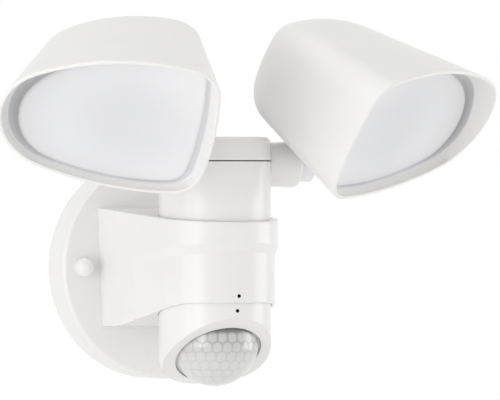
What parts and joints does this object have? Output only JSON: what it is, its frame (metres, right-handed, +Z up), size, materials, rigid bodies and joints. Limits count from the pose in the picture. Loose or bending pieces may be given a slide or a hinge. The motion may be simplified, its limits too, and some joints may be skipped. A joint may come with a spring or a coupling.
{
  "type": "motion sensor security light",
  "caption": "Wall light with lamp heads in flared hoods that tilt and swivel on a round column, above a downward-facing motion sensor that turns under it.",
  "frame": {"origin": "centre of the wall plate's back, on the mounting bar's back face, where the light meets the wall", "axes": "+Z up, -Y out of the wall towards someone facing the light, +X to that person's right"},
  "size_m": [0.2874, 0.1972, 0.1973],
  "materials": {
    "white_satin": "satin white, fine moulded grain",
    "white_gloss": "smooth glossy white",
    "white_lacquer": "white lacquer",
    "drum_white": "glossy cool white",
    "opal": "opal, matt, lets light through",
    "bezel_grey": "matt light grey",
    "lens_milky": "milky and translucent, glossy outside",
    "black_rubber": "matt black",
    "black_ink": "matt black fill",
    "zinc_steel": "zinc plated, bright",
    "stainless": "stainless, satin",
    "brass": "plated brass",
    "cast_aluminium": "as cast",
    "board_green": "solder resist, semi-gloss",
    "board_white": "white solder resist",
    "emitter": "phosphor yellow",
    "nylon_cream": "matt cream",
    "component_dark": "moulded, matt",
    "dial_grey": "matt mid grey",
    "sensor_can": "drawn can, bright"
  },
  "bodies": {
    "wall_mount": {"wall_plate": "white_gloss", "plate_gasket": "black_rubber", "mounting_bar": "zinc_steel", "mounting_studs": "zinc_steel", "stud_lock_nuts": "zinc_steel", "stud_seals": "black_rubber", "cap_nuts": "white_lacquer", "earth_screw": "brass", "terminal_block": "nylon_cream", "terminal_screws": "brass", "bracket_arm": "white_gloss", "arm_screws": "stainless", "collar_mark": "black_ink", "column_housing": "white_gloss", "column_screws": "stainless", "top_cap": "white_gloss", "cap_screws": "stainless", "cap_seal": "black_rubber", "driver_board": "board_green", "driver_components": "component_dark", "left_socket": "white_gloss", "right_socket": "white_gloss"},
    "sensor": {"sensor_body": "white_gloss", "sensor_mark": "black_ink", "sensor_clip": "stainless", "sensor_seal": "black_rubber", "pir_lens": "lens_milky", "pir_carrier": "component_dark", "pir_board": "board_green", "pyro_detector": "sensor_can", "control_board": "board_green"},
    "time_adjuster": {"time_dial": "dial_grey"},
    "light_level_adjuster": {"light_level_dial": "dial_grey"},
    "left_knuckle": {"left_knuckle": "drum_white", "left_knuckle_clip": "stainless", "left_swivel_nut": "stainless"},
    "left_head": {"left_hood": "white_satin", "left_bezel": "bezel_grey", "left_diffuser": "opal", "left_heat_sink": "cast_aluminium", "left_led_board": "board_white", "left_leds": "emitter", "left_lamp_screws": "stainless"},
    "right_knuckle": {"right_knuckle": "drum_white", "right_knuckle_clip": "stainless", "right_swivel_nut": "stainless"},
    "right_head": {"right_hood": "white_satin", "right_bezel": "bezel_grey", "right_diffuser": "opal", "right_heat_sink": "cast_aluminium", "right_led_board": "board_white", "right_leds": "emitter", "right_lamp_screws": "stainless"}
  },
  "joints": [
    {"name": "sensor_pan", "type": "hinge", "parent": "wall_mount", "child": "sensor", "pos_m": [0, -0.085, -0.012], "axis": [0, 0, 1], "range_deg": [-60, 60]},
    {"name": "time_dial_turn", "type": "hinge", "parent": "sensor", "child": "time_adjuster", "pos_m": [-0.008, -0.0581, -0.038], "axis": [0, 1, 0], "range_deg": [-135, 135]},
    {"name": "light_level_dial_turn", "type": "hinge", "parent": "sensor", "child": "light_level_adjuster", "pos_m": [0.008, -0.0581, -0.038], "axis": [0, 1, 0], "range_deg": [-135, 135]},
    {"name": "left_tilt", "type": "hinge", "parent": "wall_mount", "child": "left_knuckle", "pos_m": [-0.04, -0.085, 0.0551], "axis": [1, 0, 0], "range_deg": [-40, 30]},
    {"name": "left_swivel", "type": "hinge", "parent": "left_knuckle", "child": "left_head", "pos_m": [-0.056, -0.085, 0.0551], "axis": [0, 0.66, -0.7513], "range_deg": [-24, 6]},
    {"name": "right_tilt", "type": "hinge", "parent": "wall_mount", "child": "right_knuckle", "pos_m": [0.04, -0.085, 0.0551], "axis": [1, 0, 0], "range_deg": [-40, 30]},
    {"name": "right_swivel", "type": "hinge", "parent": "right_knuckle", "child": "right_head", "pos_m": [0.056, -0.085, 0.0551], "axis": [0, -0.6959, 0.7181], "range_deg": [-24, 6]}
  ]
}
